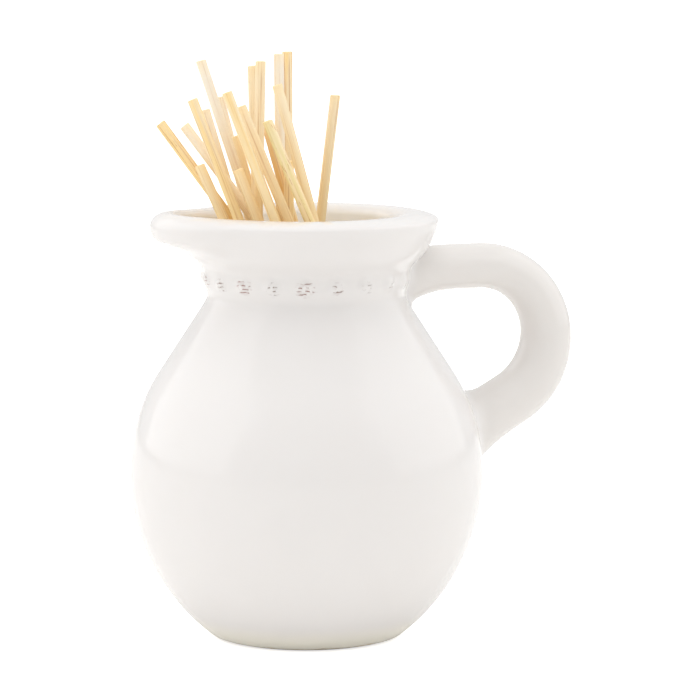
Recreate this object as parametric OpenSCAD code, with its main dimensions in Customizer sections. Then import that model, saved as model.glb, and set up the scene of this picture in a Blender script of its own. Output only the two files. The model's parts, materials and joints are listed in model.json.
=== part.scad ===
// A small glazed jug with a beaded collar that holds a bunch of wooden picks.
// The jug stands on its foot ring at z = 0. Its handle points along +X and its spout along -X.

/* [Jug] */
// Height from the foot to the crest of the rim
jug_h = 62; // [60:0.5:68]
// Diameter of the belly
belly_d = 51.4; // [48:0.2:56]
// Height of the belly's widest ring
belly_z = 24.3; // [22:0.1:26]
// Diameter at which the belly's curve would meet the table
base_d = 26.2; // [22:0.2:28]
// Outer diameter of the foot ring
foot_d = 24; // [20:0.2:24]
// Width of the foot ring that touches the table
ring_w = 2.2; // [1.6:0.1:3]
// Depth of the hollow inside the foot ring
ring_h = 0.9; // [0.6:0.1:1.2]
// Thickness of the wall
wall_t = 2.2; // [1.8:0.1:2.6]
// Thickness of the floor over the hollow
floor_t = 3.6; // [3:0.1:4.4]
// Slope of the straight shoulder, from upright
shoulder_deg = 33; // [30:0.5:36]
// Diameter of the neck at its narrowest
neck_d = 28.3; // [27:0.1:30]
// Height at which the shoulder meets the neck
neck_z = 49.9; // [49:0.1:50.6]
// Radius of the hollow where the shoulder turns into the neck
fillet_r = 1.2; // [0.8:0.1:1.6]

/* [Collar] */
// Bead places round the neck, counted through the handle
bead_count = 20; // [16:1:20]
// Diameter of a bead
bead_d = 2.4; // [2:0.1:2.5]
// Direction of the bead nearest to the handle's middle
bead_start_deg = -3; // [-3:0.5:3]
// Height of the band that carries the beads
band_h = 2.6; // [2.6:0.1:2.9]
// Height of the plain neck under the band
band_gap = 0.3; // [0.3:0.1:1.2]
// How far the band stands out from the neck
band_t = 0.8; // [0.2:0.05:0.9]
// Height of the slope from the neck out to the band
band_slope_h = 0.8; // [0.4:0.1:1.2]
// How far a bead stands out from the band
bead_t = 0.4; // [0.3:0.05:0.7]

/* [Rim and spout] */
// Outer diameter of the rim
rim_d = 38.2; // [36:0.2:41]
// Diameter of the rim's crest, its highest ring
crest_d = 30.6; // [29.6:0.2:32]
// Diameter of the mouth inside the rim
mouth_d = 26; // [25:0.2:27]
// Depth of the rim's rounding outside its crest
lip_h = 1.1; // [0.8:0.1:1.6]
// Depth of the rim's rounding inside its crest
throat_h = 1.7; // [1.2:0.1:2.2]
// How far the spout reaches past the rim
spout_reach = 4; // [3:0.1:6.5]
// Thickness of the spout's nose
nose_t = 3.7; // [2.6:0.1:4]
// Half of the angle that the spout takes of the rim
spout_half_deg = 50; // [44:1:64]
// How far the spout's nose droops under its crest
spout_drop = 0.5; // [0:0.1:2.2]
// How far the crest and the channel rise at the spout
spout_lift = 0.4; // [0:0.1:0.9]

/* [Handle] */
// Height of the handle's level upper arm
arm_z = 53.3; // [52.8:0.1:54]
// Distance from the jug's middle to the centre of the handle's bend
bend_x = 26.9; // [26:0.1:29]
// Radius of the bend along the handle's middle
bend_r = 10.6; // [10:0.1:11.4]
// Turn of the bend, from the level arm to the leg
bend_deg = 150; // [144:1:154]
// Thickness of the handle at the start of its bend
arm_t = 6.6; // [6:0.1:7]
// Thickness of the handle at the end of its bend
leg_t = 8; // [7.4:0.1:8.6]
// How much thicker the leg grows where it joins the belly
root_t = 2.8; // [1:0.1:3.2]
// How much thicker the arm grows where it joins the neck
arm_root_t = 1.6; // [1:0.1:2]
// How far the arm's middle sinks towards the neck
arm_dip = 1.4; // [0:0.1:1.8]
// Width of the handle from side to side at its arm
handle_w = 6.8; // [6:0.1:7]
// Glaze-filled gap between the handle and the jug
lute_gap = 0.05; // [0.03:0.01:0.1]

/* [Picks] */
// Length of the longest pick
pick_l = 84; // [80:0.5:88]
// Thickness of a pick
pick_d = 1.5; // [1.3:0.05:1.5]
// Length of its pointed end
point_l = 7; // [5:0.5:9]
// Diameter of the point's blunt tip
point_d = 0.5; // [0.3:0.05:0.7]
// Bevel round the flat upper end
bevel = 0.12; // [0.08:0.01:0.2]
// Gap between a pick's tip and the bowl
rest_gap = 0.2; // [0.1:0.02:0.3]

/* [Hidden] */
$fn = 48;

glaze_colour = "whitesmoke";
wood_colour = "burlywood";

// Radii of the wall's outside, and of its inside where the wall keeps its thickness
belly_r = belly_d / 2;
neck_r = neck_d / 2;
foot_r = foot_d / 2;
neck_in_r = neck_r - wall_t;
rim_r = rim_d / 2;
crest_r = crest_d / 2;
mouth_r = mouth_d / 2;
lip_w = rim_r - mouth_r;
neck_run = fillet_r * tan(shoulder_deg / 2);
slope_z = neck_z + neck_run + band_gap;
band_z = slope_z + band_slope_h;
collar_z = band_z + band_h;
band_r = neck_r + band_t;
rim_z = jug_h - lip_h;
throat_z = jug_h - throat_h;
floor_z = ring_h + floor_t;

// The lower curve is an arc, upright at the belly and passing the table at base_d
low_d = belly_r - base_d / 2;
low_r = (low_d * low_d + belly_z * belly_z) / (2 * low_d);
low_x = belly_r - low_r;
edge_z = ring_h / 2;
edge_deg = asin((belly_z - edge_z) / low_r);
floor_deg = asin((belly_z - floor_z) / (low_r - wall_t));

// The upper curve is an arc that runs out into the straight shoulder
high_r = (tan(shoulder_deg) * (neck_z - belly_z) - belly_r + neck_r) / (1 / cos(shoulder_deg) - 1);
high_x = belly_r - high_r;
neck_in_z = neck_z - wall_t * (1 / cos(shoulder_deg) - 1) / tan(shoulder_deg);

low_steps = 16;
high_steps = 10;
fillet_steps = 4;
// A revolved wall starts its turn away from the handle and the spout
seam_deg = 97;

function arc(x, z, r, from, to, n) =
    [for (i = [0 : n]) let (a = from + (to - from) * i / n) [x + r * cos(a), z + r * sin(a)]];

// Where the shoulder turns into the neck, as an arc that touches both
function neck_fillet(grow) =
    arc(neck_r + fillet_r, neck_z + neck_run, fillet_r - grow, 180 + shoulder_deg, 180, fillet_steps);

// Outside of the bulb from the table to the neck
function bulb_outside(grow) = concat(
    arc(low_x, belly_z, low_r + grow, -edge_deg, 0, low_steps),
    [for (i = [1 : high_steps]) let (a = shoulder_deg * i / high_steps)
        [high_x + (high_r + grow) * cos(a), belly_z + (high_r + grow) * sin(a)]],
    neck_fillet(grow));

// Inside of the bulb, a wall's thickness within the outside, from the neck down to the floor
function bulb_inside() = concat(
    [for (i = [0 : high_steps]) let (a = shoulder_deg * (1 - i / high_steps))
        [high_x + (high_r - wall_t) * cos(a), belly_z + (high_r - wall_t) * sin(a)]],
    [for (i = [1 : low_steps]) let (a = -floor_deg * i / low_steps)
        [low_x + (low_r - wall_t) * cos(a), belly_z + (low_r - wall_t) * sin(a)]]);

module bulb() {
    rotate(seam_deg)
        rotate_extrude()
            polygon(concat(
                [[0, ring_h], [foot_r - ring_w - ring_h, ring_h], [foot_r - ring_w, 0], [foot_r, 0]],
                bulb_outside(0),
                [[neck_r, slope_z], [band_r, band_z], [band_r, collar_z], [neck_in_r, collar_z],
                 [neck_in_r, neck_in_z]],
                bulb_inside(),
                [[0, floor_z]]));
}

// Half of the handle's angle as seen from the jug's middle, with a bead's own width
bead_ring_r = band_r + bead_t - bead_d / 2;
bead_clear_deg = asin((handle_w / 2 + bead_d / 2) / bead_ring_r);
function off_handle(a) = let (b = (a + 540) % 360 - 180) abs(b) > bead_clear_deg;

module beads() {
    for (i = [0 : bead_count - 1])
        let (a = bead_start_deg + 360 * i / bead_count)
            if (off_handle(a))
                rotate(a)
                    translate([bead_ring_r, 0, band_z + band_h / 2])
                        sphere(d = bead_d);
}

// The rim is lofted through stations: radius, height, and shares of the spout's reach, droop and lift
rim_turns = 60;
flare_steps = 7;
lip_steps = 5;
throat_steps = 5;
flare_share = 0.55;
flare_start_share = 0.4;
flare_soft_share = 0.27;
channel_share = 1.5;
spout_from_share = 0.32;
spout_span_share = 0.43;
seat_inset = band_t / 6;
seat_h = band_h / 2;
flare_z = collar_z + seat_inset;
seat_r = band_r - seat_inset;
seat_in_r = neck_in_r + seat_inset;
thin_share = (lip_w - nose_t) / spout_reach;

function ramp(u) = let (t = min(max(u, 0), 1)) t * t * (3 - 2 * t);
function spout_side(r) = 1 + thin_share * (rim_r - r) / lip_w;
function opening(u) = pow(u, flare_share)
    * (flare_start_share + (1 - flare_start_share) * ramp(u / flare_soft_share));
function flare(u) = [
    seat_r + (rim_r - seat_r) * opening(u),
    flare_z + (rim_z - flare_z) * u,
    ramp((u - spout_from_share) / spout_span_share), u, 0];
function lip_outside(a) = let (r = crest_r + (rim_r - crest_r) * cos(a))
    [r, rim_z + lip_h * sin(a), spout_side(r), 1 - sin(a), sin(a)];
function lip_inside(a) = let (r = crest_r - (crest_r - mouth_r) * cos(a))
    [r, throat_z + throat_h * sin(a), spout_side(r), 0, 1];
function throat(u) = [
    seat_in_r + (mouth_r - seat_in_r) * pow(1 - u, channel_share),
    throat_z + (flare_z - throat_z) * u,
    (1 + thin_share) * pow(1 - u, channel_share), 0, 1 - u];

function flare_stations() = [for (i = [0 : flare_steps]) flare(pow(i / flare_steps, channel_share))];
rim_stations = concat(
    [[seat_r, collar_z - seat_h, 0, 0, 0]],
    flare_stations(),
    [for (i = [1 : lip_steps]) lip_outside(90 * i / lip_steps)],
    [for (i = [lip_steps - 1 : -1 : 0]) lip_inside(90 * i / lip_steps)],
    [for (i = [1 : throat_steps]) throat(i / throat_steps)],
    [[seat_in_r, collar_z - seat_h, 0, 0, 0]]);

// How much of the spout a direction has: all of it at -X, none past half of its angle
function spout_at(a) = let (d = abs(a - 180))
    d < spout_half_deg ? pow(cos(90 * d / spout_half_deg), 2) : 0;
function rim_point(s, a) = let (k = spout_at(a), r = s[0] + k * s[2] * spout_reach)
    [r * cos(a), r * sin(a), s[1] + k * (s[4] * spout_lift - s[3] * spout_drop)];

// Skin between rings of points, closed along and across
function torus_faces(rings, n) = [for (j = [0 : rings - 1], i = [0 : n - 1])
    let (a = j * n + i, b = j * n + (i + 1) % n, c = ((j + 1) % rings) * n)
        each [[a, c + i, b], [b, c + i, c + (i + 1) % n]]];

module rim() {
    polyhedron(
        [for (s = rim_stations, i = [0 : rim_turns - 1]) rim_point(s, 360 * i / rim_turns)],
        torus_faces(len(rim_stations), rim_turns));
}

module jug_body() {
    color(glaze_colour) {
        bulb();
        beads();
        rim();
    }
}

// Solid form of the jug's outside without its spout, for trimming the handle to it
module jug_outside(grow) {
    rotate(seam_deg)
        rotate_extrude()
            polygon(concat(
                [[0, edge_z]],
                bulb_outside(grow),
                [[neck_r + grow, slope_z - grow], [band_r + grow, band_z - grow]],
                [for (s = flare_stations()) [s[0] + seat_inset + grow, s[1]]],
                [[0, rim_z]]));
}

// Middle line of the handle: the arm, the bend and the leg, as [x, z, direction]
arm_from_x = neck_in_r + wall_t / 2;
bend_z = arm_z - bend_r;
leg_dir = -bend_deg;
leg_x = bend_x + bend_r * cos(90 - bend_deg);
leg_z = bend_z + bend_r * sin(90 - bend_deg);
leg_len = (leg_x - belly_r + wall_t * 2) / -cos(leg_dir);
arm_steps = 7;
bend_steps = 18;
leg_steps = 5;
handle_line = concat(
    [for (i = [0 : arm_steps - 1])
        [arm_from_x + (bend_x - arm_from_x) * i / arm_steps, arm_z - arm_dip * at_neck(i), 0]],
    [for (i = [0 : bend_steps]) let (a = bend_deg * i / bend_steps)
        [bend_x + bend_r * sin(a), bend_z + bend_r * cos(a), -a]],
    [for (i = [1 : leg_steps]) let (t = leg_len * i / leg_steps)
        [leg_x + t * cos(leg_dir), leg_z + t * sin(leg_dir), leg_dir]]);
handle_last = len(handle_line) - 1;

// Thickness along the handle: it swells from arm to leg and flares into both ends
function at_neck(i) = pow(1 - ramp(i / arm_steps), 3);
function at_belly(i) = pow(ramp((i - handle_last + leg_steps) / leg_steps), 2);
function swell(i) = ramp((i - arm_steps) / bend_steps);
function thick(i) = arm_t + (leg_t - arm_t) * swell(i) + arm_root_t * at_neck(i) + root_t * at_belly(i);
function wide(i) = handle_w + (leg_t - arm_t) * swell(i);

handle_turns = 24;
function handle_ring(i) = let (p = handle_line[i], t = thick(i) / 2, w = wide(i) / 2)
    [for (j = [0 : handle_turns - 1]) let (a = 360 * j / handle_turns)
        [p[0] - t * cos(a) * sin(p[2]), w * sin(a), p[1] + t * cos(a) * cos(p[2])]];

// Skin of a bar through rings of points, with both ends closed
function bar_faces(rings, n) = concat(
    [[for (i = [0 : n - 1]) n - 1 - i]],
    [for (j = [0 : rings - 2], i = [0 : n - 1])
        let (a = j * n + i, b = j * n + (i + 1) % n)
            each [[a, b, a + n], [b, b + n, a + n]]],
    [[for (i = [0 : n - 1]) (rings - 1) * n + i]]);

module handle() {
    color(glaze_colour)
        difference() {
            polyhedron(
                [for (i = [0 : handle_last]) each handle_ring(i)],
                bar_faces(handle_last + 1, handle_turns));
            jug_outside(lute_gap);
        }
}

// The picks fan out across a direction turned from +X by this angle
bunch_deg = -20;
// One row a pick, the nearest first. The first two shares are its place in the neck, across and
// away, of the neck's free radius. The next two are its lean that way, of the height climbed. The
// last is its length, of the longest pick's.
bunch_shares = [
    [ 0.00, -0.80, -0.37, -0.04, 0.92],
    [ 0.49, -0.80, -0.42, -0.02, 0.78],
    [-0.46, -0.64, -0.38,  0.00, 0.94],
    [ 0.20, -0.64, -0.41,  0.00, 0.86],
    [-0.22, -0.64, -0.38,  0.00, 0.80],
    [-0.58, -0.48, -0.45,  0.00, 0.84],
    [ 0.38, -0.48, -0.27,  0.00, 0.91],
    [-0.22, -0.32, -0.73,  0.00, 0.86],
    [ 0.09, -0.32, -0.74,  0.00, 0.80],
    [-0.64, -0.16,  0.02,  0.00, 0.94],
    [-0.22, -0.16,  0.00,  0.00, 0.77],
    [-0.35,  0.00, -0.33,  0.00, 0.99],
    [ 0.09,  0.00, -0.27,  0.00, 0.86],
    [-0.60,  0.16, -0.03,  0.01, 0.93],
    [-0.32,  0.16, -0.01,  0.01, 0.95],
    [-0.60,  0.32, -0.30,  0.01, 0.89],
    [-0.34,  0.32, -0.29,  0.01, 0.84],
    [-0.50,  0.48, -0.25,  0.01, 0.90],
    [-0.25,  0.64,  0.00,  0.02, 0.95],
    [ 0.07,  0.80,  0.12,  0.02, 0.88]
];

// How far a point at radius r and height z lies within the bowl's inner wall
function inset_of(r, z) = min(z - floor_z,
    z < belly_z ? low_r - wall_t - norm([r - low_x, z - belly_z])
                : high_r - wall_t - norm([r - high_x, z - belly_z]));
tip_room = point_d / 2 + rest_gap;
function pick_at(m, h) = [m[0] - m[2] * h, m[1] - m[3] * h, neck_z - h];
function pick_room(m, h) = let (p = pick_at(m, h)) inset_of(norm([p[0], p[1]]), p[2]) - tip_room;
// A pick slides down its own line until its tip rests in the bowl
seek_steps = 24;
function pick_depth(m, near, far, n) = n == 0 ? near :
    let (mid = (near + far) / 2)
        pick_room(m, mid) > 0 ? pick_depth(m, mid, far, n - 1) : pick_depth(m, near, mid, n - 1);

module pick_shape(length) {
    rotate_extrude()
        polygon([[0, 0], [point_d / 2, 0], [pick_d / 2, point_l], [pick_d / 2, length - bevel],
                 [pick_d / 2 - bevel, length], [0, length]]);
}

module toothpick(i) {
    s = bunch_shares[i - 1];
    free_r = neck_in_r - pick_d / 2;
    m = [s[0] * free_r, s[1] * free_r, s[2], s[3]];
    foot = pick_at(m, pick_depth(m, belly_z, neck_z, seek_steps));
    color(wood_colour)
        rotate(bunch_deg)
            translate(foot)
                rotate([0, acos(1 / norm([m[2], m[3], 1])), atan2(m[3], m[2])])
                    pick_shape(pick_l * s[4]);
}

function pick_name(i) = str("toothpick_", i < 10 ? "0" : "", i);
jug_body();
handle();
for (i = [1 : len(bunch_shares)]) toothpick(i);
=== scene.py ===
"""A small glazed jug that holds a bunch of bamboo picks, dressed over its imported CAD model.

The frame gives every place. The jug is spun from the half section of the CAD source, evened out
round the neck as thick glaze does. The handle is skinned ring by ring and luted to the jug with
fillets, and each pick is drawn along the slide that its CAD node moves on.
"""
import json
import math
import random

import bmesh
import bpy
from bpy.props import FloatProperty, FloatVectorProperty, IntProperty, PointerProperty
from bpy.types import Operator, Panel, PropertyGroup
from mathutils import Matrix, Vector, noise

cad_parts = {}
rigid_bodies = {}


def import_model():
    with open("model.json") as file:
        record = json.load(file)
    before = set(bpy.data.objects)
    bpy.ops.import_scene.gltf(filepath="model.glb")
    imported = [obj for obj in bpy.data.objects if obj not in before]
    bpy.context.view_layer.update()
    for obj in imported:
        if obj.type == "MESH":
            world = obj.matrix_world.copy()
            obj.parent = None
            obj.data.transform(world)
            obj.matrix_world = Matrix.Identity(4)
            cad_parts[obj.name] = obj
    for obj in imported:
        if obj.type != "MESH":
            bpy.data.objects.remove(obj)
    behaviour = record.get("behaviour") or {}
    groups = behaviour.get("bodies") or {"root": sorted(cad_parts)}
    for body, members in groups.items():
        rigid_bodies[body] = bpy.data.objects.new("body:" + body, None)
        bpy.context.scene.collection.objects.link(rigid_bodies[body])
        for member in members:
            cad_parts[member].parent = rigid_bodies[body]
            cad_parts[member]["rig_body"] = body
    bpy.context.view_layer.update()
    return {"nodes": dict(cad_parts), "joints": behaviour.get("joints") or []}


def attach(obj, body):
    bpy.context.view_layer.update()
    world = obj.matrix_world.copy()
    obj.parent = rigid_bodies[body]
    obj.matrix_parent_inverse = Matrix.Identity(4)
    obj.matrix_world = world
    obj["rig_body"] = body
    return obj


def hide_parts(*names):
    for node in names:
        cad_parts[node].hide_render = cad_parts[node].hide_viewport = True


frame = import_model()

bl_info = {
    "name": "Pick jug",
    "version": (1, 0, 0),
    "blender": (4, 5, 0),
    "location": "3D View > Sidebar > Pick jug",
    "description": "Dresses a small glazed jug with a bunch of bamboo picks",
    "category": "Object",
}

MM = 0.001


# ---- Settings that a user would change ----

def linear(code):
    """Linear RGB of a colour that is written as an sRGB hex code."""
    shares = [int(code[i:i + 2], 16) / 255 for i in (0, 2, 4)]
    return tuple(s / 12.92 if s <= 0.04045 else ((s + 0.055) / 1.055) ** 2.4 for s in shares)


def length(name, millimetres, description):
    return FloatProperty(name=name, description=description, default=millimetres * MM,
                         min=0.0, precision=5, unit="LENGTH")


def angle(name, degrees, description):
    return FloatProperty(name=name, description=description, default=math.radians(degrees),
                         subtype="ANGLE", unit="ROTATION")


def colour(name, code, description):
    return FloatVectorProperty(name=name, description=description, default=linear(code),
                               size=3, min=0.0, max=1.0, subtype="COLOR")


class JugSizes(PropertyGroup):
    """Bulb, foot and neck"""
    height: length("Height", 62, "From the foot to the crest of the rim")
    belly_d: length("Belly", 51.4, "Diameter of the belly")
    belly_z: length("Belly height", 24.3, "Height of the belly's widest ring")
    base_d: length("Base", 26.2, "Diameter at which the belly's curve meets the table")
    foot_d: length("Foot", 24, "Outer diameter of the foot ring")
    ring_w: length("Foot ring width", 2.2, "Width of the ring that touches the table")
    ring_h: length("Foot hollow", 0.9, "Depth of the hollow inside the foot ring")
    wall: length("Wall", 2.2, "Thickness of the wall")
    floor: length("Floor", 3.6, "Thickness of the floor over the hollow")
    shoulder: angle("Shoulder", 33, "Slope of the straight shoulder, from upright")
    neck_d: length("Neck", 28.3, "Diameter of the neck at its narrowest")
    neck_z: length("Neck height", 49.9, "Height at which the shoulder meets the neck")
    fillet: length("Neck hollow", 1.2, "Radius where the shoulder turns into the neck")
    waver: length("Waver", 0.09, "How far the cast wall strays from a true round, inwards")


class CollarSizes(PropertyGroup):
    """Band and beads round the neck"""
    places: IntProperty(name="Bead places", default=20, min=3,
                        description="Places round the neck, counted through the handle")
    bead_d: length("Bead", 2.4, "Diameter of a bead")
    start: angle("First bead", -3, "Direction of the bead nearest to the handle's middle")
    band_h: length("Band", 2.6, "Height of the band that carries the beads")
    band_gap: length("Band gap", 0.3, "Height of the plain neck under the band")
    band_t: length("Band relief", 0.8, "How far the band stands out from the neck")
    slope_h: length("Band slope", 0.8, "Height of the slope from the neck out to the band")
    bead_t: length("Bead relief", 0.4, "How far a bead stands out from the band")
    soften: length("Softening", 0.4, "Rounding of the foot's edges and of the corners inside")
    flow: length("Glaze flow", 2.3, "How far the glaze evens out the neck and the band")


class RimSizes(PropertyGroup):
    """Flared rim and drawn-out spout"""
    rim_d: length("Rim", 38.2, "Outer diameter of the rim")
    crest_d: length("Crest", 30.6, "Diameter of the rim's highest ring")
    mouth_d: length("Mouth", 26, "Diameter of the mouth inside the rim")
    lip_h: length("Lip", 1.1, "Depth of the rounding outside the crest")
    throat_h: length("Throat", 1.7, "Depth of the rounding inside the crest")
    roll: length("Roll", 1.3, "How far the flare's top is rounded under the lip")
    reach: length("Spout reach", 4, "How far the spout reaches past the rim")
    nose_t: length("Spout nose", 3.7, "Thickness of the spout's nose")
    half: angle("Spout half angle", 50, "Half of the angle that the spout takes of the rim")
    drop: length("Spout drop", 0.5, "How far the spout's nose droops under its crest")
    lift: length("Spout lift", 0.4, "How far the crest and the channel rise at the spout")


class HandleSizes(PropertyGroup):
    """Loop handle"""
    arm_z: length("Arm height", 53.3, "Height of the level upper arm")
    bend_x: length("Bend place", 26.9, "From the jug's middle to the centre of the bend")
    bend_r: length("Bend radius", 10.6, "Radius of the bend along the handle's middle")
    bend: angle("Bend", 150, "Turn of the bend, from the level arm to the leg")
    arm_t: length("Arm thickness", 6.6, "Thickness at the start of the bend")
    leg_t: length("Leg thickness", 8, "Thickness at the end of the bend")
    root_t: length("Leg root", 2.8, "How much thicker the leg grows where it joins the bulb")
    arm_root_t: length("Arm root", 1.6, "How much thicker the arm grows at the neck")
    arm_dip: length("Arm dip", 1.4, "How far the arm's middle sinks towards the neck")
    width: length("Width", 6.8, "Width from side to side at the arm")
    arm_lute: length("Arm fillet", 0.9, "Reach of the fillet between the arm and the flare")
    under_lute: length("Arm's under fillet", 2.4, "Reach of the fillet under the arm")
    leg_lute: length("Leg fillet", 2, "Reach of the fillet under the leg")
    inner_lute: length("Leg's inner fillet", 3.6, "Reach of the fillet inside the loop")


class PickSizes(PropertyGroup):
    """Bamboo picks"""
    thick: length("Thickness", 1.49, "Thickness of a pick, a little under its CAD node's")
    point_l: length("Point", 7, "Length of the pointed end")
    point_d: length("Tip", 0.46, "Diameter of the point's blunt tip")
    cut: length("Rough cut", 0.22, "How uneven the sawn upper end is")
    bow: length("Bow", 0.08, "How far a pick bows out of line")


class Colours(PropertyGroup):
    """Glaze, clay and bamboo"""
    glaze: colour("Glaze", "ECE9E7", "White glaze where it lies thick")
    glaze_thin: colour("Thin glaze", "E6E2DE", "Warmer white where the glaze lies thin")
    # Pooled glaze, made whiter still as painted light that lifts the shade inside the mouth
    inner_glaze_and_painted_light: colour("Inner glaze", "FCFAF5", "White glaze that pools inside the jug")
    # Clay showing through the glaze, made brighter too as painted light that lifts the contact
    # shade at the foot
    foot_clay_and_painted_light: colour("Glaze at the foot", "FFFAEC", "Glaze that lets the clay of the foot show")
    biscuit: colour("Bare clay", "E2D8C6", "Unglazed clay of the foot ring")
    rust: colour("Rust stain", "8E5244", "Iron-red stain that is left in the worn collar")
    soot: colour("Grey stain", "7D766C", "Grey-brown stain that is left in the worn collar")
    pale: colour("Pale bamboo", "FDF3E1", "Outer wood that is bleached nearly white")
    straw: colour("Straw bamboo", "FDEAC6", "Ordinary dry bamboo")
    gold: colour("Gold bamboo", "FFE0A2", "Bamboo with more resin")
    amber: colour("Amber bamboo", "F3C27E", "The darkest sticks")
    olive: colour("Olive bamboo", "ECDFA4", "Bamboo with some of its green skin left")
    fibre: colour("Fibre", "C48C50", "Fibre bundles between the pale wood")


class StageSizes(PropertyGroup):
    """Camera, floor and lights"""
    azimuth: angle("Azimuth", -20, "Direction of the camera round the jug")
    far: length("Distance", 631.4, "Level distance of the camera from the jug's axis")
    up: length("Camera height", 120, "Height of the camera over the table")
    aside: length("Aside", 6.33, "How far the camera stands to the right of the jug's axis")
    tilt: angle("Tilt", 7.05, "How far the camera looks down")
    lens: FloatProperty(name="Lens", default=225.8, min=1.0, unit="CAMERA",
                        description="Focal length on a 36 mm wide sensor")
    floor: length("Floor", 9000, "Side of the square floor")
    room: FloatProperty(name="Room light", default=0.56, min=0.0,
                        description="Brightness of the white room on dull surfaces")
    mirrored: FloatProperty(name="Mirrored white", default=0.55, min=0.0, max=1.0,
                            description="How much of the added white shows in gloss")
    veil: FloatProperty(name="Floor veil", default=0.7, min=0.0,
                        description="Light that the camera sees on the floor over its own")
    floor_mirrored: FloatProperty(name="Mirrored floor", default=0.12, min=0.0, max=1.0,
                                  description="How much of the floor's veil shows in gloss")


# ---- The jug's half section, worked out from its sizes as the CAD source does ----

# The flare widens by this power of its height. At its foot it has the start share of that, and
# all of it from the soft share of its height on
FLARE_SHARE = 0.55
FLARE_START_SHARE = 0.4
FLARE_SOFT_SHARE = 0.27
# Power by which the throat narrows downwards
CHANNEL_SHARE = 1.5
# The spout begins at this share of the flare's height, and is whole after this one more
SPOUT_FROM_SHARE = 0.32
SPOUT_SPAN_SHARE = 0.43
# The flare is at its widest from this share of its height on, where its top is rolled
ROLL_SHARE = 0.87
# Steps along the handle's arm, bend and leg
ARM_STEPS, BEND_STEPS, LEG_STEPS = 7, 18, 5
# Steps along the bulb under and over its belly, the neck, the flare and a quarter of the lip
LOW_STEPS, HIGH_STEPS, CLIMB_STEPS, FLARE_STEPS, LIP_STEPS = 34, 22, 48, 22, 12
# The wall is evened out from this far under the neck upwards. A place's radius becomes the mean
# of this many places to each side, whose weight falls off as a bell curve of this steepness
CALM_DROP = 4 * MM
FLOW_STEPS = 20
FLOW_FALL = 4.5


def ramp(share):
    """A smooth rise from 0 to 1."""
    share = min(max(share, 0.0), 1.0)
    return share * share * (3 - 2 * share)


def arc(x, z, radius, start, end, steps):
    """Points of a circle's part, from one turn to another."""
    turns = [start + (end - start) * i / steps for i in range(steps + 1)]
    return [(x + radius * math.cos(a), z + radius * math.sin(a)) for a in turns]


def eased(points, reach, steps):
    """The same line with each of its corners turned into a curve that starts reach before it."""
    line = [Vector(p) for p in points]
    made = [line[0]]
    for before, corner, after in zip(line, line[1:], line[2:]):
        start = corner + (before - corner).normalized() * min(reach, (before - corner).length / 2)
        end = corner + (after - corner).normalized() * min(reach, (after - corner).length / 2)
        for i in range(steps + 1):
            t = i / steps
            made.append(start.lerp(corner, t).lerp(corner.lerp(end, t), t))
    return [tuple(p) for p in made + [line[-1]]]


def radius_at(line, z):
    """Radius of a rising line of (radius, height) points at a height."""
    for (r0, z0), (r1, z1) in zip(line, line[1:]):
        if z0 <= z <= z1:
            return r0 + (r1 - r0) * (z - z0) / max(z1 - z0, 1e-9)
    return line[-1][0] if z > line[-1][1] else line[0][0]


def wrapped(turn):
    """The same direction as an angle between minus and plus half a turn."""
    return (turn + math.pi) % (2 * math.pi) - math.pi


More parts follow.
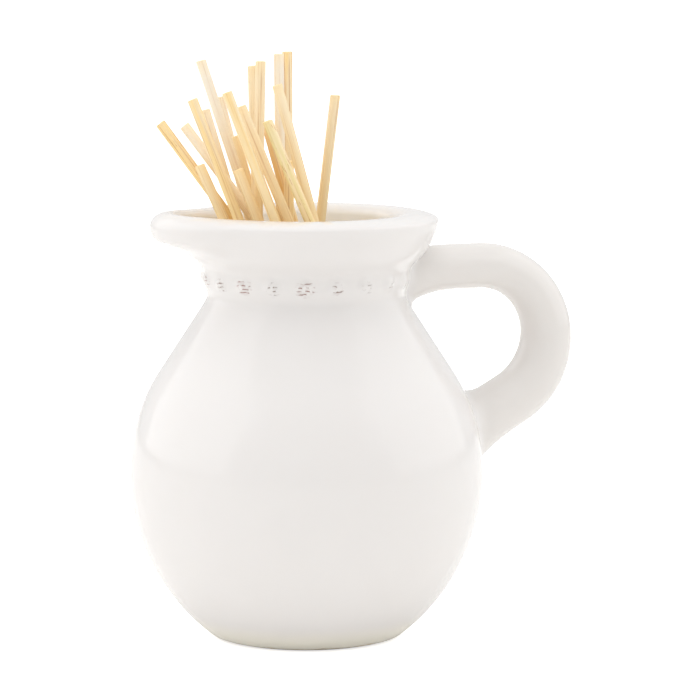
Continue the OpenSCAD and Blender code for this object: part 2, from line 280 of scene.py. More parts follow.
class Section:
    """Stations of the half section: radius, height, shares of the spout's reach, droop, lift."""

    def __init__(self, scene):
        jug, collar, rim = scene.jug_sizes, scene.collar_sizes, scene.rim_sizes
        belly_r, neck_r, foot_r = jug.belly_d / 2, jug.neck_d / 2, jug.foot_d / 2
        rim_r, crest_r, mouth_r = rim.rim_d / 2, rim.crest_d / 2, rim.mouth_d / 2
        neck_in_r = neck_r - jug.wall
        neck_run = jug.fillet * math.tan(jug.shoulder / 2)
        slope_z = jug.neck_z + neck_run + collar.band_gap
        band_z = slope_z + collar.slope_h
        collar_z = band_z + collar.band_h
        band_r = neck_r + collar.band_t
        rim_z, throat_z = jug.height - rim.lip_h, jug.height - rim.throat_h
        floor_z = jug.ring_h + jug.floor
        thin_share = (rim_r - mouth_r - rim.nose_t) / rim.reach
        seat_inset = collar.band_t / 6
        seat_r, seat_in_r = band_r - seat_inset, neck_in_r + seat_inset
        flare_z = collar_z + seat_inset

        low_d = belly_r - jug.base_d / 2
        low_r = (low_d ** 2 + jug.belly_z ** 2) / (2 * low_d)
        low_x = belly_r - low_r
        edge_turn = math.asin((jug.belly_z - jug.ring_h / 2) / low_r)
        floor_turn = math.asin((jug.belly_z - floor_z) / (low_r - jug.wall))
        slope = jug.shoulder
        high_r = ((math.tan(slope) * (jug.neck_z - jug.belly_z) - belly_r + neck_r)
                  / (1 / math.cos(slope) - 1))
        high_x = belly_r - high_r
        neck_in_z = jug.neck_z - jug.wall * (1 / math.cos(slope) - 1) / math.tan(slope)

        low = arc(low_x, jug.belly_z, low_r, -edge_turn, 0, LOW_STEPS)
        high = arc(high_x, jug.belly_z, high_r, 0, slope, HIGH_STEPS)[1:]
        shoulder = [tuple(Vector(high[-1]).lerp(Vector((neck_r, jug.neck_z)), i / 6))
                    for i in range(1, 6)]
        hollow = arc(neck_r + jug.fillet, jug.neck_z + neck_run, jug.fillet,
                     math.pi + slope, math.pi, 8)
        shoulder = [p for p in shoulder if p[1] < hollow[0][1]]
        foot = eased([(0, jug.ring_h), (foot_r - jug.ring_w - jug.ring_h, jug.ring_h),
                      (foot_r - jug.ring_w, 0), (foot_r, 0), low[0], low[1]], collar.soften, 4)
        calm_z = jug.neck_z - CALM_DROP
        plain = foot + low[2:] + [p for p in high + shoulder if p[1] < calm_z]
        outside = [(r, z, 0.0, 0.0, 0.0) for r, z in plain]

        def side(r):
            """Share of the reach that a ring of the lip takes, so the nose has its thickness."""
            return 1 + thin_share * (rim_r - r) / (rim_r - mouth_r)

        def opening(u):
            """Share of the flare's widening at a share of its height."""
            return u ** FLARE_SHARE * (FLARE_START_SHARE
                                       + (1 - FLARE_START_SHARE) * ramp(u / FLARE_SOFT_SHARE))

        def channel(u):
            """Share of the throat's opening that is left at a share of its depth."""
            return (1 - u) ** CHANNEL_SHARE

        flare = [(i / FLARE_STEPS) ** CHANNEL_SHARE for i in range(FLARE_STEPS + 1)]
        opened = [(seat_r + (rim_r - seat_r) * opening(min(u / ROLL_SHARE, 1.0)),
                   flare_z + (rim_z - flare_z) * u) for u in flare]
        sharp = (high + shoulder + hollow
                 + [(neck_r, slope_z), (band_r, band_z), (band_r, collar_z)]
                 + opened + [(r, 2 * rim_z - z) for r, z in opened[-2:0:-1]])
        shares = [i / FLOW_STEPS - 1 for i in range(2 * FLOW_STEPS + 1)]
        weights = [math.exp(-FLOW_FALL * share ** 2) for share in shares]

        def evened(z):
            """Radius of the neck, collar or flare after the glaze has run over its edges."""
            up_flare = ramp((z - flare_z) / (rim_z - flare_z))
            spread = collar.flow + (rim.roll - collar.flow) * up_flare
            near = [radius_at(sharp, z + spread * share) for share in shares]
            return sum(w * r for w, r in zip(weights, near)) / sum(weights)

        climb = [calm_z + (flare_z - calm_z) * i / CLIMB_STEPS for i in range(CLIMB_STEPS)]
        outside += [(evened(z), z, 0.0, 0.0, 0.0) for z in climb]
        for u in flare:
            z = flare_z + (rim_z - flare_z) * u
            outside.append((evened(z), z, ramp((u - SPOUT_FROM_SHARE) / SPOUT_SPAN_SHARE), u, 0.0))
        edge_r = evened(rim_z)
        quarter = [math.pi / 2 * i / LIP_STEPS for i in range(LIP_STEPS + 1)]
        lip = [(crest_r + (edge_r - crest_r) * math.cos(a), rim_z + rim.lip_h * math.sin(a),
                1 - math.sin(a), math.sin(a)) for a in quarter[1:]]
        lip += [(crest_r - (crest_r - mouth_r) * math.cos(a),
                 throat_z + rim.throat_h * math.sin(a), 0.0, 1.0) for a in quarter[-2::-1]]
        outside += [(r, z, side(r), droop, lift) for r, z, droop, lift in lip]
        drops = [i / LIP_STEPS for i in range(1, LIP_STEPS + 1)]
        inside = [(seat_in_r + (mouth_r - seat_in_r) * channel(u),
                   throat_z + (flare_z - throat_z) * u,
                   (1 + thin_share) * channel(u), 0.0, 1 - u) for u in drops]
        high_in = arc(high_x, jug.belly_z, high_r - jug.wall, slope, 0, HIGH_STEPS)
        bowl = eased([(seat_in_r, flare_z), (neck_in_r, band_z), (neck_in_r, neck_in_z)]
                     + high_in[:2], 2 * collar.soften, 4)[1:-1]
        bowl += high_in[1:]
        bowl += arc(low_x, jug.belly_z, low_r - jug.wall, 0, -floor_turn, 26)[1:-1]
        corner = (low_x + (low_r - jug.wall) * math.cos(floor_turn), floor_z)
        bowl += eased([bowl[-1], corner, (corner[0] / 2, floor_z), (0, floor_z)],
                      4 * collar.soften, 5)[1:]
        inside += [(r, z, 0.0, 0.0, 0.0) for r, z in bowl]

        self.stations = outside + inside
        self.inside_from = len(outside) - INSIDE_STEPS
        self.wall_line = [s[:2] for s in outside if s[1] <= rim_z and s[0] >= foot_r]
        self.rim = rim
        self.band_r = band_r
        self.bead_z = band_z + collar.band_h / 2
        self.hidden = math.asin((scene.handle_sizes.width + collar.bead_d) / 2
                                / (band_r + collar.bead_t - collar.bead_d / 2))
        self.mid_wall_r = neck_in_r + jug.wall / 2
        self.leg_reach = jug.wall * 2 - belly_r

    def radius(self, z):
        """Outside radius at a height, away from the spout."""
        return radius_at(self.wall_line, z)

    def normal(self, point, step=0.9 * MM):
        """Direction out of the wall, away from the spout."""
        slope = (self.radius(point.z + step) - self.radius(point.z - step)) / (2 * step)
        out = Vector((point.x, point.y, 0)).normalized()
        return Vector((out.x, out.y, -slope)).normalized()

    def clear(self, point):
        """How far a point lies outside the wall, along the wall's own normal."""
        return (math.hypot(point.x, point.y) - self.radius(point.z)) * self.normal(point).xy.length

    def spout(self, x, y):
        """How much of the spout a direction has: all of it at -X, none past half of its angle."""
        off = math.pi - abs(math.atan2(y, x))
        return math.cos(math.pi / 2 * off / self.rim.half) ** 2 if off < self.rim.half else 0.0


# Wear, warmth and width of the stain on each bead place, as shares, from the handle on
BEAD_WEAR_SHARES = (
    (0.0, 0.0, 0.0), (0.0, 0.0, 0.0), (0.5, 0.8, 0.3), (0.3, 0.3, 0.3), (0.7, 0.9, 0.3),
    (0.4, 0.2, 0.4), (0.8, 0.6, 0.2), (0.3, 0.5, 0.4), (0.6, 0.9, 0.1), (0.5, 0.9, 0.1),
    (0.7, 0.7, 0.5), (0.8, 0.4, 0.4), (1.3, 0.95, 0.45), (1.1, 0.25, 0.3), (0.95, 0.8, 0.7),
    (0.65, 0.45, 0.5), (0.5, 0.2, 0.5), (0.45, 0.2, 0.4), (0.5, 0.2, 0.3), (0.6, 0.1, 0.2))


# The stain sits a little to the handle's side of each bead, and under its middle. It is this
# wide at least, gets wider by its own share of the spread, and is this high
RUB_TURN = math.radians(1.2)
RUB_DROP = 0.4 * MM
RUB_WIDTH, RUB_SPREAD, RUB_HEIGHT = 0.4 * MM, 1.2 * MM, 1.05 * MM


def bead_places(scene, section):
    """Direction, wear and warmth of each bead that the handle's root doesn't cover."""
    collar = scene.collar_sizes
    made = []
    for i in range(collar.places):
        turn = wrapped(collar.start + 2 * math.pi * i / collar.places)
        if abs(turn) > section.hidden:
            made.append((turn, *BEAD_WEAR_SHARES[i % len(BEAD_WEAR_SHARES)]))
    return made


def bead_wear(point, beads, section):
    """Wear and warmth that the beads leave on a point of the collar."""
    worn = warm = 0.0
    for turn, wear, warmth, width in beads:
        off = wrapped(math.atan2(point.y, point.x) - (turn + RUB_TURN))
        across = off * section.band_r / (RUB_WIDTH + RUB_SPREAD * width)
        up = (point.z - section.bead_z + RUB_DROP) / RUB_HEIGHT
        share = wear * math.exp(-across ** 2 - up ** 4)
        if share > worn:
            worn, warm = share, warmth
    return worn, warm


# ---- Mesh and node helpers ----

def skin(bm, rings):
    """Extrudes a circle from ring to ring and closes both ends."""
    loop = bmesh.ops.create_circle(bm, segments=len(rings[0]), radius=MM)["verts"]
    for vert, place in zip(loop, rings[0]):
        vert.co = place
    first = loop
    for ring in rings[1:]:
        edges = [bm.edges.get(pair) for pair in zip(loop, loop[1:] + loop[:1])]
        made = bmesh.ops.extrude_edge_only(bm, edges=edges)["geom"]
        fresh = {part for part in made if isinstance(part, bmesh.types.BMVert)}
        loop = [next(e.other_vert(v) for e in v.link_edges if e.other_vert(v) in fresh)
                for v in loop]
        for vert, place in zip(loop, ring):
            vert.co = place
    for end in (first, loop):
        bmesh.ops.contextual_create(
            bm, geom=end + [bm.edges.get(pair) for pair in zip(end, end[1:] + end[:1])])
    bmesh.ops.recalc_face_normals(bm, faces=bm.faces)


def piece(name, bm, body, material, nodes=()):
    """Makes the object of a finished bmesh, and ties it to its body, material and CAD nodes."""
    for face in bm.faces:
        face.smooth = True
    mesh = bpy.data.meshes.new(name)
    bm.to_mesh(mesh)
    bm.free()
    obj = bpy.data.objects.new(name, mesh)
    bpy.context.scene.collection.objects.link(obj)
    mesh.materials.append(material)
    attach(obj, body)
    if nodes:
        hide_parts(*nodes)
    return obj


def add(tree, kind, sockets=None, **settings):
    """Adds a node with its settings. A socket's value is a number, a colour or what feeds it."""
    node = tree.nodes.new("ShaderNode" + kind)
    for name, value in settings.items():
        setattr(node, name, value)
    for name, value in (sockets or {}).items():
        if isinstance(value, bpy.types.NodeSocket):
            tree.links.new(value, node.inputs[name])
        else:
            node.inputs[name].default_value = value
    return node


def rgba(value):
    return (*value, 1.0)


def blank(name):
    """An empty node material and its tree, or None for the tree where it is made already."""
    made = bpy.data.materials.get(name)
    if made:
        return made, None
    made = bpy.data.materials.new(name)
    made.use_nodes = True
    made.node_tree.nodes.clear()
    return made, made.node_tree


# Sockets of the Mix node when it mixes colours
FACTOR, FIRST, SECOND = 0, 6, 7


def mixed(tree, factor, first, second):
    """A colour between two others."""
    return add(tree, "Mix", {FACTOR: factor, FIRST: first, SECOND: second},
               data_type="RGBA").outputs[2]


def between(tree, value, low, high, start=0.0, end=1.0):
    """A smooth step from start to end while a value goes from low to high."""
    return add(tree, "MapRange", {"Value": value, "From Min": low, "From Max": high,
                                  "To Min": start, "To Max": end},
               interpolation_type="SMOOTHSTEP").outputs[0]


# ---- Materials ----

def glazed_earthenware(colours):
    """White earthenware, slip cast, dipped in a clear glossy glaze and fired.

    The glaze gives a sharp reflection that wavers over centimetres, a fine orange peel, and a
    warmer white where it lies thin, as on the handle. A little light enters it, which softens
    its shade. It stops in an uneven line over the foot, whose bare clay is dull. Round the
    collar it is scratched in short level lines that hold an iron stain.
    """
    material, tree = blank("glazed_earthenware")
    if tree is None:
        return material
    place = add(tree, "TexCoord").outputs["Object"]

    # Thick and thin glaze run into each other over about 16 mm. Inside it is whiter, where it
    # pools, and lightened further as painted light against the shade in the mouth. Over the foot
    # it is yellower, where the clay shows through, and lightened as painted light against the
    # contact shade under the bulb
    pool = add(tree, "TexNoise", {"Vector": place, "Scale": 1 / (16 * MM), "Detail": 2.0})
    pulled = add(tree, "Attribute", attribute_name="pulled").outputs["Fac"]
    lean = add(tree, "Math", {0: between(tree, pool.outputs[0], 0.42, 0.72, 0.0, 0.1), 1: pulled},
               operation="MAXIMUM").outputs[0]
    white = mixed(tree, lean, rgba(colours.glaze), rgba(colours.glaze_thin))
    inside = add(tree, "Attribute", attribute_name="inside").outputs["Fac"]
    # Painted light: the glaze inside is whiter than outside, to lift the shade in the mouth
    white = mixed(tree, inside, white, rgba(colours.inner_glaze_and_painted_light))
    height = add(tree, "SeparateXYZ", {0: place}).outputs["Z"]
    # Painted light: up to 4.5 mm over the table the glaze is mixed towards a brighter, yellower
    # white against the contact shade
    white = mixed(tree, between(tree, height, 1 * MM, 4.5 * MM, 0.8, 0.0), white,
                  rgba(colours.foot_clay_and_painted_light))

    # Level scratches 0.58 mm apart that waver and break off, only where the wear attribute is
    worn = add(tree, "Attribute", attribute_name="wear").outputs["Fac"]
    warm = add(tree, "Attribute", attribute_name="warmth").outputs["Fac"]
    stray = add(tree, "TexNoise", {"Vector": place, "Scale": 1 / (1.6 * MM), "Detail": 3.0})
    level = add(tree, "Math", {0: stray.outputs[0], 1: 0.9 * MM, 2: height},
                operation="MULTIPLY_ADD").outputs[0]
    saw = add(tree, "Math", {0: level, 1: 0.29 * MM}, operation="PINGPONG").outputs[0]
    line = between(tree, saw, 0.17 * MM, 0.27 * MM)
    broken = add(tree, "TexNoise", {"Vector": place, "Scale": 1 / (0.7 * MM), "Detail": 2.0})
    patch = between(tree, broken.outputs[0], 0.38, 0.62)
    over = add(tree, "Math", {0: worn, 1: patch}, operation="MULTIPLY").outputs[0]
    held = between(tree, over, 0.08, 0.6, 0.0, 0.85)
    scored = add(tree, "Math", {0: line, 1: held}, operation="MULTIPLY").outputs[0]
    stain = add(tree, "Math", {0: held, 1: 0.14, 2: scored}, operation="MULTIPLY_ADD").outputs[0]
    shade = mixed(tree, warm, rgba(colours.soot), rgba(colours.rust))
    stained = mixed(tree, stain, white, shade)

    # The glaze ends between 0.4 and 0.9 mm over the table
    edge = add(tree, "TexNoise", {"Vector": place, "Scale": 1 / (2.5 * MM), "Detail": 2.0})
    dipped = between(tree, edge.outputs[0], 0.3, 0.7, 0.3 * MM, 0.75 * MM)
    rise = add(tree, "Math", {0: height, 1: dipped}, operation="SUBTRACT").outputs[0]
    glassy = between(tree, rise, -0.08 * MM, 0.08 * MM)
    base = mixed(tree, glassy, rgba(colours.biscuit), stained)
    dull = between(tree, glassy, 0.0, 1.0, 0.72, 0.13)
    rough = add(tree, "Math", {0: stain, 1: 0.35, 2: dull}, operation="MULTIPLY_ADD").outputs[0]

    # Slow waves of the cast wall, 15 mm apart, then orange peel, 1.6 mm apart
    wave = add(tree, "TexNoise", {"Vector": place, "Scale": 1 / (15 * MM), "Detail": 1.0})
    peel = add(tree, "TexNoise", {"Vector": place, "Scale": 1 / (1.6 * MM), "Detail": 1.0})
    slow = add(tree, "Bump", {"Height": wave.outputs[0], "Distance": 0.04 * MM, "Strength": 1.0})
    fine = add(tree, "Bump", {"Height": peel.outputs[0], "Distance": 0.004 * MM,
                              "Strength": 1.0, "Normal": slow.outputs[0]})
    shader = add(tree, "BsdfPrincipled", {
        "Base Color": base, "Roughness": rough, "IOR": 1.5, "Normal": fine.outputs[0],
        "Subsurface Weight": 0.3, "Subsurface Radius": (1.0, 0.95, 0.9),
        "Subsurface Scale": 1.5 * MM})
    add(tree, "OutputMaterial", {"Surface": shader.outputs[0]})
    return material


def split_bamboo(tone, colours, flecks, fibres):
    """Bamboo, split, drawn round through a die and sawn: dull, with fibres along the stick.

    Fibre bundles show as darker lines about 0.2 mm wide and centimetres long, with short brown
    flecks where a bundle breaks the surface, and a browner sawn end. The pattern follows the
    pick's own grain attribute, in millimetres.
    """
    material, tree = blank(f"split_bamboo_{tone}_{flecks:.2f}_{fibres:.1f}")
    if tree is None:
        return material
    grain = add(tree, "Attribute", attribute_name="grain").outputs["Vector"]
    sawn = add(tree, "Attribute", attribute_name="sawn").outputs["Fac"]

    def along(width, run, detail):
        stretched = add(tree, "Mapping", {"Vector": grain,
                                          "Scale": (1 / width, 1 / width, 1 / run)})
        return add(tree, "TexNoise", {"Vector": stretched.outputs[0], "Scale": 1.0,
                                      "Detail": detail, "Roughness": 0.55}).outputs[0]

    bundles, body, broken = along(0.24, 14.0, 2.0), along(0.9, 22.0, 1.0), along(0.22, 1.9, 2.0)
    pale = colours.pale if tone == "pale" else colours.straw
    wood = mixed(tree, between(tree, body, 0.35, 0.65), rgba(getattr(colours, tone)), rgba(pale))
    # Painted bounce light: lower down, towards the jug, the wood is mixed towards gold for the
    # warm light that bounces between the sticks
    place = add(tree, "TexCoord").outputs["Object"]
    height = add(tree, "SeparateXYZ", {0: place}).outputs["Z"]
    wood = mixed(tree, between(tree, height, 60 * MM, 80 * MM, 0.6, 0.0), wood,
                 rgba(colours.gold))
    lined = mixed(tree, between(tree, bundles, 0.52, 0.72, 0.0, fibres), wood, rgba(colours.fibre))
    fleck = between(tree, broken, 0.75 - flecks, 0.84 - flecks, 0.0, 0.7)
    marked = mixed(tree, fleck, lined, rgba(colours.fibre))
    ended = add(tree, "Math", {0: sawn, 1: 0.45}, operation="MULTIPLY").outputs[0]
    base = mixed(tree, ended, marked, rgba(colours.gold))
    ridges = add(tree, "Bump", {"Height": bundles, "Distance": 0.05 * MM, "Strength": 0.8})
    shader = add(tree, "BsdfPrincipled", {
        "Base Color": base, "Roughness": between(tree, bundles, 0.3, 0.7, 0.5, 0.72),
        "Specular IOR Level": 0.35, "Normal": ridges.outputs[0]})
    add(tree, "OutputMaterial", {"Surface": shader.outputs[0]})
    return material


def seen_white(tree, mirrored):
    """1 for the rays that see the background by eye or through glass, less for those in gloss."""
    path = add(tree, "LightPath").outputs
    gloss = add(tree, "Math", {0: path["Is Glossy Ray"], 1: mirrored}, operation="MULTIPLY")
    first = add(tree, "Math", {0: path["Is Camera Ray"], 1: gloss.outputs[0]},
                operation="MAXIMUM").outputs[0]
    return add(tree, "Math", {0: first, 1: path["Is Transmission Ray"]},
               operation="MAXIMUM").outputs[0]


def matt_floor(stage):
    """Matt white studio floor, as painted board: the camera sees it white but for the shadow."""
    material, tree = blank("matt_white_floor")
    if tree is None:
        return material
    veil = add(tree, "Math", {0: seen_white(tree, stage.floor_mirrored), 1: stage.veil},
               operation="MULTIPLY")
    glow = add(tree, "Emission", {"Strength": veil.outputs[0]})
    board = add(tree, "BsdfDiffuse", {"Color": rgba(linear("FBFAF8"))})
    both = add(tree, "AddShader", {0: board.outputs[0], 1: glow.outputs[0]})
    add(tree, "OutputMaterial", {"Surface": both.outputs[0]})
    return material


# ---- Operators, one for each piece or group ----

# Steps of the spin, and rings over which the inner glaze fades in
ROUND_STEPS, INSIDE_STEPS = 300, 8
# The foot is true, the wall's waver grows from here over this height, and this far apart
WAVER_FROM, WAVER_RUN, WAVER_SIZE = 2 * MM, 6 * MM, 24 * MM
# Each bead swells over this share of its diameter. The glaze drowns those that are within this
# turn of the handle's root
SWELL_SHARE = 0.7
DROWNED_TURN = math.radians(12)


class MakeJug(Operator):
    """Spins the jug's half section, raises its beads and draws its spout out"""
    bl_idname = "pick_jug.make_jug"
    bl_label = "Jug"

    def execute(self, context):
        scene = context.scene
        section = Section(scene)
        collar, rim = scene.collar_sizes, scene.rim_sizes
        bm = bmesh.new()
        reach = bm.verts.layers.float.new("reach")
        droop = bm.verts.layers.float.new("droop")
        lift = bm.verts.layers.float.new("lift")
        inside = bm.verts.layers.float.new("inside")
        chain = []
        for i, (r, z, reaching, drooping, lifting) in enumerate(section.stations):
            vert = bm.verts.new((r, 0, z))
            vert[reach], vert[droop], vert[lift] = reaching, drooping, lifting
            vert[inside] = ramp((i - section.inside_from) / INSIDE_STEPS)
            chain.append(vert)
        edges = [bm.edges.new(pair) for pair in zip(chain, chain[1:])]
        bmesh.ops.spin(bm, geom=chain + edges, cent=(0, 0, 0), axis=(0, 0, 1),
                       angle=2 * math.pi, steps=ROUND_STEPS, use_merge=True)
        bmesh.ops.remove_doubles(bm, verts=bm.verts, dist=0.001 * MM)
        bmesh.ops.recalc_face_normals(bm, faces=bm.faces)
        wear = bm.verts.layers.float.new("wear")
        warmth = bm.verts.layers.float.new("warmth")
        beads = bead_places(scene, section)
        for vert in bm.verts:
            x, y, z = vert.co
            r = math.hypot(x, y)
            if r < 1e-6:
                continue
            k = section.spout(x, y)
            grown = r + k * vert[reach] * rim.reach
            if z > WAVER_FROM:
                stray = noise.noise(vert.co / WAVER_SIZE) * 0.5 + 0.5
                stray *= (1 - vert[droop]) * ramp((z - WAVER_FROM) / WAVER_RUN)
                grown -= scene.jug_sizes.waver * stray
            if r > section.mid_wall_r and abs(z - section.bead_z) < collar.bead_d:
                away = min((vert.co - Vector((math.cos(t) * r, math.sin(t) * r, section.bead_z))
                            ).length for t, *_ in beads)
                free = ramp((abs(math.atan2(y, x)) - section.hidden) / DROWNED_TURN)
                grown += free * collar.bead_t * ramp(1 - away / (SWELL_SHARE * collar.bead_d))
                vert[wear], vert[warmth] = bead_wear(vert.co, beads, section)
            rise = vert[lift] * rim.lift - vert[droop] * rim.drop
            vert.co = (x * grown / r, y * grown / r, z + k * rise)
        piece("glazed_jug", bm, "jug", glazed_earthenware(scene.holder_colours),
              ["jug_body"])
        return {"FINISHED"}


# Points round the handle, rings along it and rings of each fillet
SKIN_ROUND, SKIN_RINGS, LUTE_RINGS = 48, 84, 9
# Step along the handle that gives its skin's direction at a place
NUDGE = 0.05
# Halvings that find where the skin leaves the jug, and pulls that bring a point onto its wall
HALVINGS, WALL_PULLS = 26, 4
# How far a fillet's last ring goes into the wall, and on along it
SINK, SINK_ON = 0.35 * MM, 0.25 * MM
# The glaze is thinner on the handle by this share, which is reached this far from the wall
THIN_SHARE, THIN_RUN = 0.85, 1.8 * MM


class MakeHandle(Operator):
    """Skins the loop handle and lutes both of its ends to the jug"""
    bl_idname = "pick_jug.make_handle"
    bl_label = "Handle"

    def execute(self, context):
        scene = context.scene
        section, sizes = Section(scene), scene.handle_sizes
        bend_z = sizes.arm_z - sizes.bend_r
        leg_x = sizes.bend_x + sizes.bend_r * math.sin(sizes.bend)
        leg_z = bend_z + sizes.bend_r * math.cos(sizes.bend)
        leg_len = (leg_x + section.leg_reach) / -math.cos(sizes.bend)
        last = ARM_STEPS + BEND_STEPS + LEG_STEPS

        def skin_point(i, turn):
            """Point of the handle's skin at a place along its middle line and a turn round it."""
            at_neck = (1 - ramp(i / ARM_STEPS)) ** 3
            at_bulb = ramp((i - last + LEG_STEPS) / LEG_STEPS) ** 2
            if i <= ARM_STEPS:
                way = 0.0
                x = section.mid_wall_r + (sizes.bend_x - section.mid_wall_r) * i / ARM_STEPS
                z = sizes.arm_z - sizes.arm_dip * at_neck
            elif i <= ARM_STEPS + BEND_STEPS:
                way = -sizes.bend * (i - ARM_STEPS) / BEND_STEPS
                x = sizes.bend_x - sizes.bend_r * math.sin(way)
                z = bend_z + sizes.bend_r * math.cos(way)
            else:
                way = -sizes.bend
                run = leg_len * (i - ARM_STEPS - BEND_STEPS) / LEG_STEPS
                x = leg_x + run * math.cos(sizes.bend)
                z = leg_z - run * math.sin(sizes.bend)
            swell = (sizes.leg_t - sizes.arm_t) * ramp((i - ARM_STEPS) / BEND_STEPS)
            thick = (sizes.arm_t + swell + sizes.arm_root_t * at_neck + sizes.root_t * at_bulb) / 2
            wide = (sizes.width + swell) / 2
            return Vector((x - thick * math.cos(turn) * math.sin(way), wide * math.sin(turn),
                           z + thick * math.cos(turn) * math.cos(way)))

        def meeting(turn, inner, outer):
            """Place at which a line along the skin comes out of the jug."""
            for _ in range(HALVINGS):
                middle = (inner + outer) / 2
                if section.clear(skin_point(middle, turn)) > 0:
                    outer = middle
                else:
                    inner = middle
            return outer

        def lute(turn, at, forward, reach):
            """Fillet from the skin to the jug's wall, and a last point sunk into the wall."""
            corner = skin_point(at, turn)
            step = skin_point(at + forward * NUDGE, turn) - corner
            start_i = at + forward * NUDGE * reach / step.length
            start = skin_point(start_i, turn)
            out = section.normal(corner)
            middle = (skin_point(at, 0.0) + skin_point(at, math.pi)) / 2
            spread = corner - middle
            spread -= out * spread.dot(out)
            end = corner + spread.normalized() * reach
            for _ in range(WALL_PULLS):
                end -= section.normal(end) * (section.clear(end) + scene.jug_sizes.waver)
            line = []
            for i in range(1, LUTE_RINGS + 1):
                t = i / LUTE_RINGS
                line.append(start.lerp(corner, t).lerp(corner.lerp(end, t), t))
            sunk = end - section.normal(end) * SINK + spread.normalized() * SINK_ON
            return start_i, line + [sunk]

        turns = [2 * math.pi * j / SKIN_ROUND for j in range(SKIN_ROUND)]
        bars = []
        for turn in turns:
            start = meeting(turn, 0.0, float(ARM_STEPS))
            end = meeting(turn, float(last), float(last - LEG_STEPS - 3))
            inner = (1 - math.cos(turn)) / 2
            arm_reach = sizes.arm_lute + (sizes.under_lute - sizes.arm_lute) * inner
            leg_reach = sizes.leg_lute + (sizes.inner_lute - sizes.leg_lute) * inner
            start_i, upper = lute(turn, start, 1, arm_reach)
            end_i, lower = lute(turn, end, -1, leg_reach)
            span = [skin_point(start_i + (end_i - start_i) * i / SKIN_RINGS, turn)
                    for i in range(SKIN_RINGS + 1)]
            bars.append([skin_point(0.0, turn)] + upper[::-1] + span + lower)
        bm = bmesh.new()
        skin(bm, list(zip(*bars)))
        pulled = bm.verts.layers.float.new("pulled")
        for vert in bm.verts:
            vert[pulled] = THIN_SHARE * ramp(section.clear(vert.co) / THIN_RUN)
        piece("luted_handle", bm, "jug", glazed_earthenware(scene.holder_colours),
              ["handle"])
        return {"FINISHED"}


# Tone of each pick, the nearest row first, then its flecks and its dark fibres as shares
PICK_TONES = (
    ("gold", 0.0, 0.4), ("olive", 0.14, 0.4), ("gold", 0.03, 0.5), ("straw", 0.03, 0.4),
    ("straw", 0.0, 0.3), ("straw", 0.05, 0.6), ("straw", 0.0, 0.3), ("gold", 0.08, 0.9),
    ("pale", 0.0, 0.4), ("straw", 0.03, 0.5), ("gold", 0.03, 0.6), ("pale", 0.0, 0.3),
    ("amber", 0.06, 0.5), ("straw", 0.1, 0.9), ("pale", 0.03, 0.3), ("pale", 0.0, 0.3),
    ("straw", 0.0, 0.5), ("pale", 0.0, 0.3), ("gold", 0.1, 0.9), ("straw", 0.0, 0.4))


# Points round a pick, and rings along its shaft
PICK_ROUND, PICK_RINGS = 20, 30
# Heights of the rings on and just over a pick's point, as sevenths of the point's length
POINT_SEVENTHS = (0, 0.5, 1.5, 3, 4.5, 6, 7, 8)
# How much less than its thickness a pick may measure where it is out of round, as a share
OUT_OF_ROUND = 0.03
# The rough cut starts this far under the upper end
CUT_FROM = 0.15 * MM


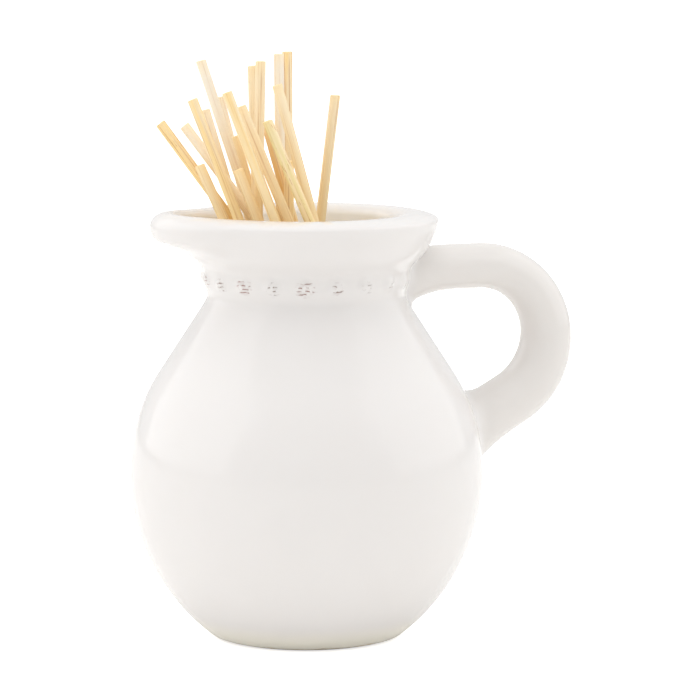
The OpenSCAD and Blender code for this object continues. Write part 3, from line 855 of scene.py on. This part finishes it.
class MakePicks(Operator):
    """Draws each bamboo pick along the slide of its CAD node"""
    bl_idname = "pick_jug.make_picks"
    bl_label = "Picks"

    def execute(self, context):
        sizes, colours = context.scene.pick_sizes, context.scene.holder_colours
        joints = sorted(frame["joints"], key=lambda joint: joint["child"])
        for number, joint in enumerate(joints):
            body = joint["child"]
            node = next(n for n in frame["nodes"] if frame["nodes"][n]["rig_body"] == body)
            axis = Vector(joint["axis"]).normalized()
            reach = [(v.co.dot(axis), v.co) for v in frame["nodes"][node].data.vertices]
            low, high = min(r for r, _ in reach), max(r for r, _ in reach)
            feet = [co for r, co in reach if r < low + 0.01 * MM]
            foot = sum(feet, Vector()) / len(feet)
            draw = random.Random(100 + number)
            tone, flecks, fibres = PICK_TONES[number % len(PICK_TONES)]
            self.make(node, body, foot, axis, high - low, number, draw, sizes,
                      split_bamboo(tone, colours, flecks, fibres))
        return {"FINISHED"}

    def make(self, node, body, foot, axis, run, number, draw, sizes, material):
        place = (Matrix.Translation(foot) @ axis.to_track_quat("Z", "Y").to_matrix().to_4x4())
        way, cut_way = draw.uniform(0, 2 * math.pi), draw.uniform(0, 2 * math.pi)
        tilt, bow = draw.uniform(0.2, 1.0), sizes.bow * draw.uniform(0.3, 1.0)
        seed = Vector((number * 3.7, number * 1.3, number * 5.1))
        point = [h * sizes.point_l / 7 for h in POINT_SEVENTHS]
        top = run - CUT_FROM
        shaft = [point[-1] + (top - point[-1]) * i / PICK_RINGS for i in range(1, PICK_RINGS)]

        def ring(z, scale, rough):
            """Ring of the pick's skin at a height, narrowed, and roughened by the saw."""
            taper = min(z / sizes.point_l, 1.0)
            radius = (sizes.point_d + (sizes.thick - sizes.point_d) * taper) / 2 * scale
            lean = bow * math.sin(math.pi * z / run)
            made = []
            # Dents and chips differ round the pick, and every 9 mm along it
            for j in range(PICK_ROUND):
                turn = 2 * math.pi * j / PICK_ROUND
                spot = Vector((math.cos(turn), math.sin(turn), z / (9 * MM)))
                dent = noise.noise(spot * 1.1 + seed) * 0.5 + 0.5
                r = radius * (1 - OUT_OF_ROUND * dent)
                chip = noise.noise(spot * 2.3 - seed) * 0.5 + 0.5
                slant = tilt * (1 + math.cos(turn - cut_way)) / 2
                fall = rough * sizes.cut * (0.55 * chip + 0.45 * slant)
                made.append(place @ Vector((r * math.cos(turn) + lean * math.cos(way),
                                            r * math.sin(turn) + lean * math.sin(way),
                                            z - fall)))
            return made

        rings = [ring(h, 1.0, 0.0) for h in point + shaft]
        rings += [ring(top, 1.0, 0.6), ring(run, 0.93, 1.0), ring(run, 0.6, 0.9),
                  ring(run, 0.25, 0.8)]
        bm = bmesh.new()
        skin(bm, rings)
        grain = bm.verts.layers.float_vector.new("grain")
        sawn = bm.verts.layers.float.new("sawn")
        back = place.inverted()
        for vert in bm.verts:
            local = back @ vert.co
            vert[grain] = (local + seed * 10 * MM) / MM
            vert[sawn] = ramp((local.z - run + 0.5 * MM) / (0.4 * MM))
        piece("bamboo_" + body, bm, body, material, [node])


class MakeStage(Operator):
    """Sets up the camera, the white floor, the room and the lights"""
    bl_idname = "pick_jug.make_stage"
    bl_label = "Stage"

    def execute(self, context):
        scene = context.scene
        stage = scene.stage_sizes
        away = Vector((-math.sin(stage.azimuth), math.cos(stage.azimuth), 0))
        right = Vector((math.cos(stage.azimuth), math.sin(stage.azimuth), 0))
        lens = bpy.data.cameras.new("camera")
        lens.lens = stage.lens
        lens.sensor_width = 36.0
        lens.clip_start = 0.05
        lens.clip_end = 50.0
        camera = bpy.data.objects.new("camera", lens)
        camera.location = right * stage.aside - away * stage.far + Vector((0, 0, stage.up))
        camera.rotation_euler = (math.pi / 2 - stage.tilt, 0, stage.azimuth)
        scene.collection.objects.link(camera)
        scene.camera = camera
        scene.view_settings.view_transform = "Standard"

        bm = bmesh.new()
        bmesh.ops.create_grid(bm, x_segments=8, y_segments=8, size=stage.floor / 2)
        mesh = bpy.data.meshes.new("floor")
        bm.to_mesh(mesh)
        bm.free()
        mesh.materials.append(matt_floor(stage))
        floor = bpy.data.objects.new("floor", mesh)
        scene.collection.objects.link(floor)

        world = bpy.data.worlds.new("white_room")
        world.use_nodes = True
        tree = world.node_tree
        tree.nodes.clear()
        strength = add(tree, "MapRange", {"Value": seen_white(tree, stage.mirrored),
                                          "To Min": stage.room, "To Max": 1.0}).outputs[0]
        glow = add(tree, "Background", {"Color": (1, 1, 1, 1), "Strength": strength})
        add(tree, "OutputWorld", {"Surface": glow.outputs[0]})
        scene.world = world

        # Name, place across, away and up, width, height and power of each soft box, and
        # whether the glaze mirrors it
        boxes = (
            ("box_left", (-0.60, 0.02, 0.35), 1.2, 0.7, 1.98, True),
            ("box_right", (0.60, 0.05, 0.35), 1.0, 0.7, 1.42, True),
            ("box_front", (0.0, -0.75, 0.34), 0.5, 0.5, 0.5, False),
            ("box_back", (0.0, 0.70, 0.45), 0.5, 0.5, 1.0, False),
            ("box_top", (0.0, -0.06, 0.75), 0.6, 0.6, 2.0, False))
        for name, (across, far, up), wide, high, power, mirrored in boxes:
            light = bpy.data.lights.new(name, "AREA")
            light.shape = "RECTANGLE"
            light.size = wide
            light.size_y = high
            light.energy = power
            lamp = bpy.data.objects.new(name, light)
            lamp.location = right * across + away * far + Vector((0, 0, up))
            target = Vector((0, 0, 35 * MM)) - lamp.location
            lamp.rotation_euler = target.to_track_quat("-Z", "Y").to_euler()
            lamp.visible_camera = False
            lamp.visible_glossy = mirrored
            scene.collection.objects.link(lamp)
        return {"FINISHED"}


class PickJugPanel(Panel):
    """Lists the sizes, the colours and the makers of the pick jug"""
    bl_idname = "VIEW3D_PT_pick_jug"
    bl_label = "Pick jug"
    bl_space_type = "VIEW_3D"
    bl_region_type = "UI"
    bl_category = "Pick jug"

    def draw(self, context):
        for title, name, maker in PANEL_ROWS:
            box = self.layout.box()
            box.label(text=title)
            group = getattr(context.scene, name)
            for prop in group.__annotations__:
                box.prop(group, prop)
            if maker:
                box.operator(maker)


PANEL_ROWS = (
    ("Bulb and foot", "jug_sizes", MakeJug.bl_idname),
    ("Collar", "collar_sizes", None),
    ("Rim and spout", "rim_sizes", None),
    ("Handle", "handle_sizes", MakeHandle.bl_idname),
    ("Picks", "pick_sizes", MakePicks.bl_idname),
    ("Colours", "holder_colours", None),
    ("Stage", "stage_sizes", MakeStage.bl_idname))
GROUPS = {"jug_sizes": JugSizes, "collar_sizes": CollarSizes, "rim_sizes": RimSizes,
          "handle_sizes": HandleSizes, "pick_sizes": PickSizes, "holder_colours": Colours,
          "stage_sizes": StageSizes}
CLASSES = (*GROUPS.values(), MakeJug, MakeHandle, MakePicks, MakeStage, PickJugPanel)


def register():
    """Adds the settings, the makers and the panel."""
    for entry in CLASSES:
        bpy.utils.register_class(entry)
    for name, group in GROUPS.items():
        setattr(bpy.types.Scene, name, PointerProperty(type=group))


def unregister():
    """Takes out what register adds."""
    for name in GROUPS:
        delattr(bpy.types.Scene, name)
    for entry in reversed(CLASSES):
        bpy.utils.unregister_class(entry)


def main():
    """Makes the whole scene."""
    register()
    bpy.ops.pick_jug.make_jug()
    bpy.ops.pick_jug.make_handle()
    bpy.ops.pick_jug.make_picks()
    bpy.ops.pick_jug.make_stage()


if __name__ == "__main__":
    main()
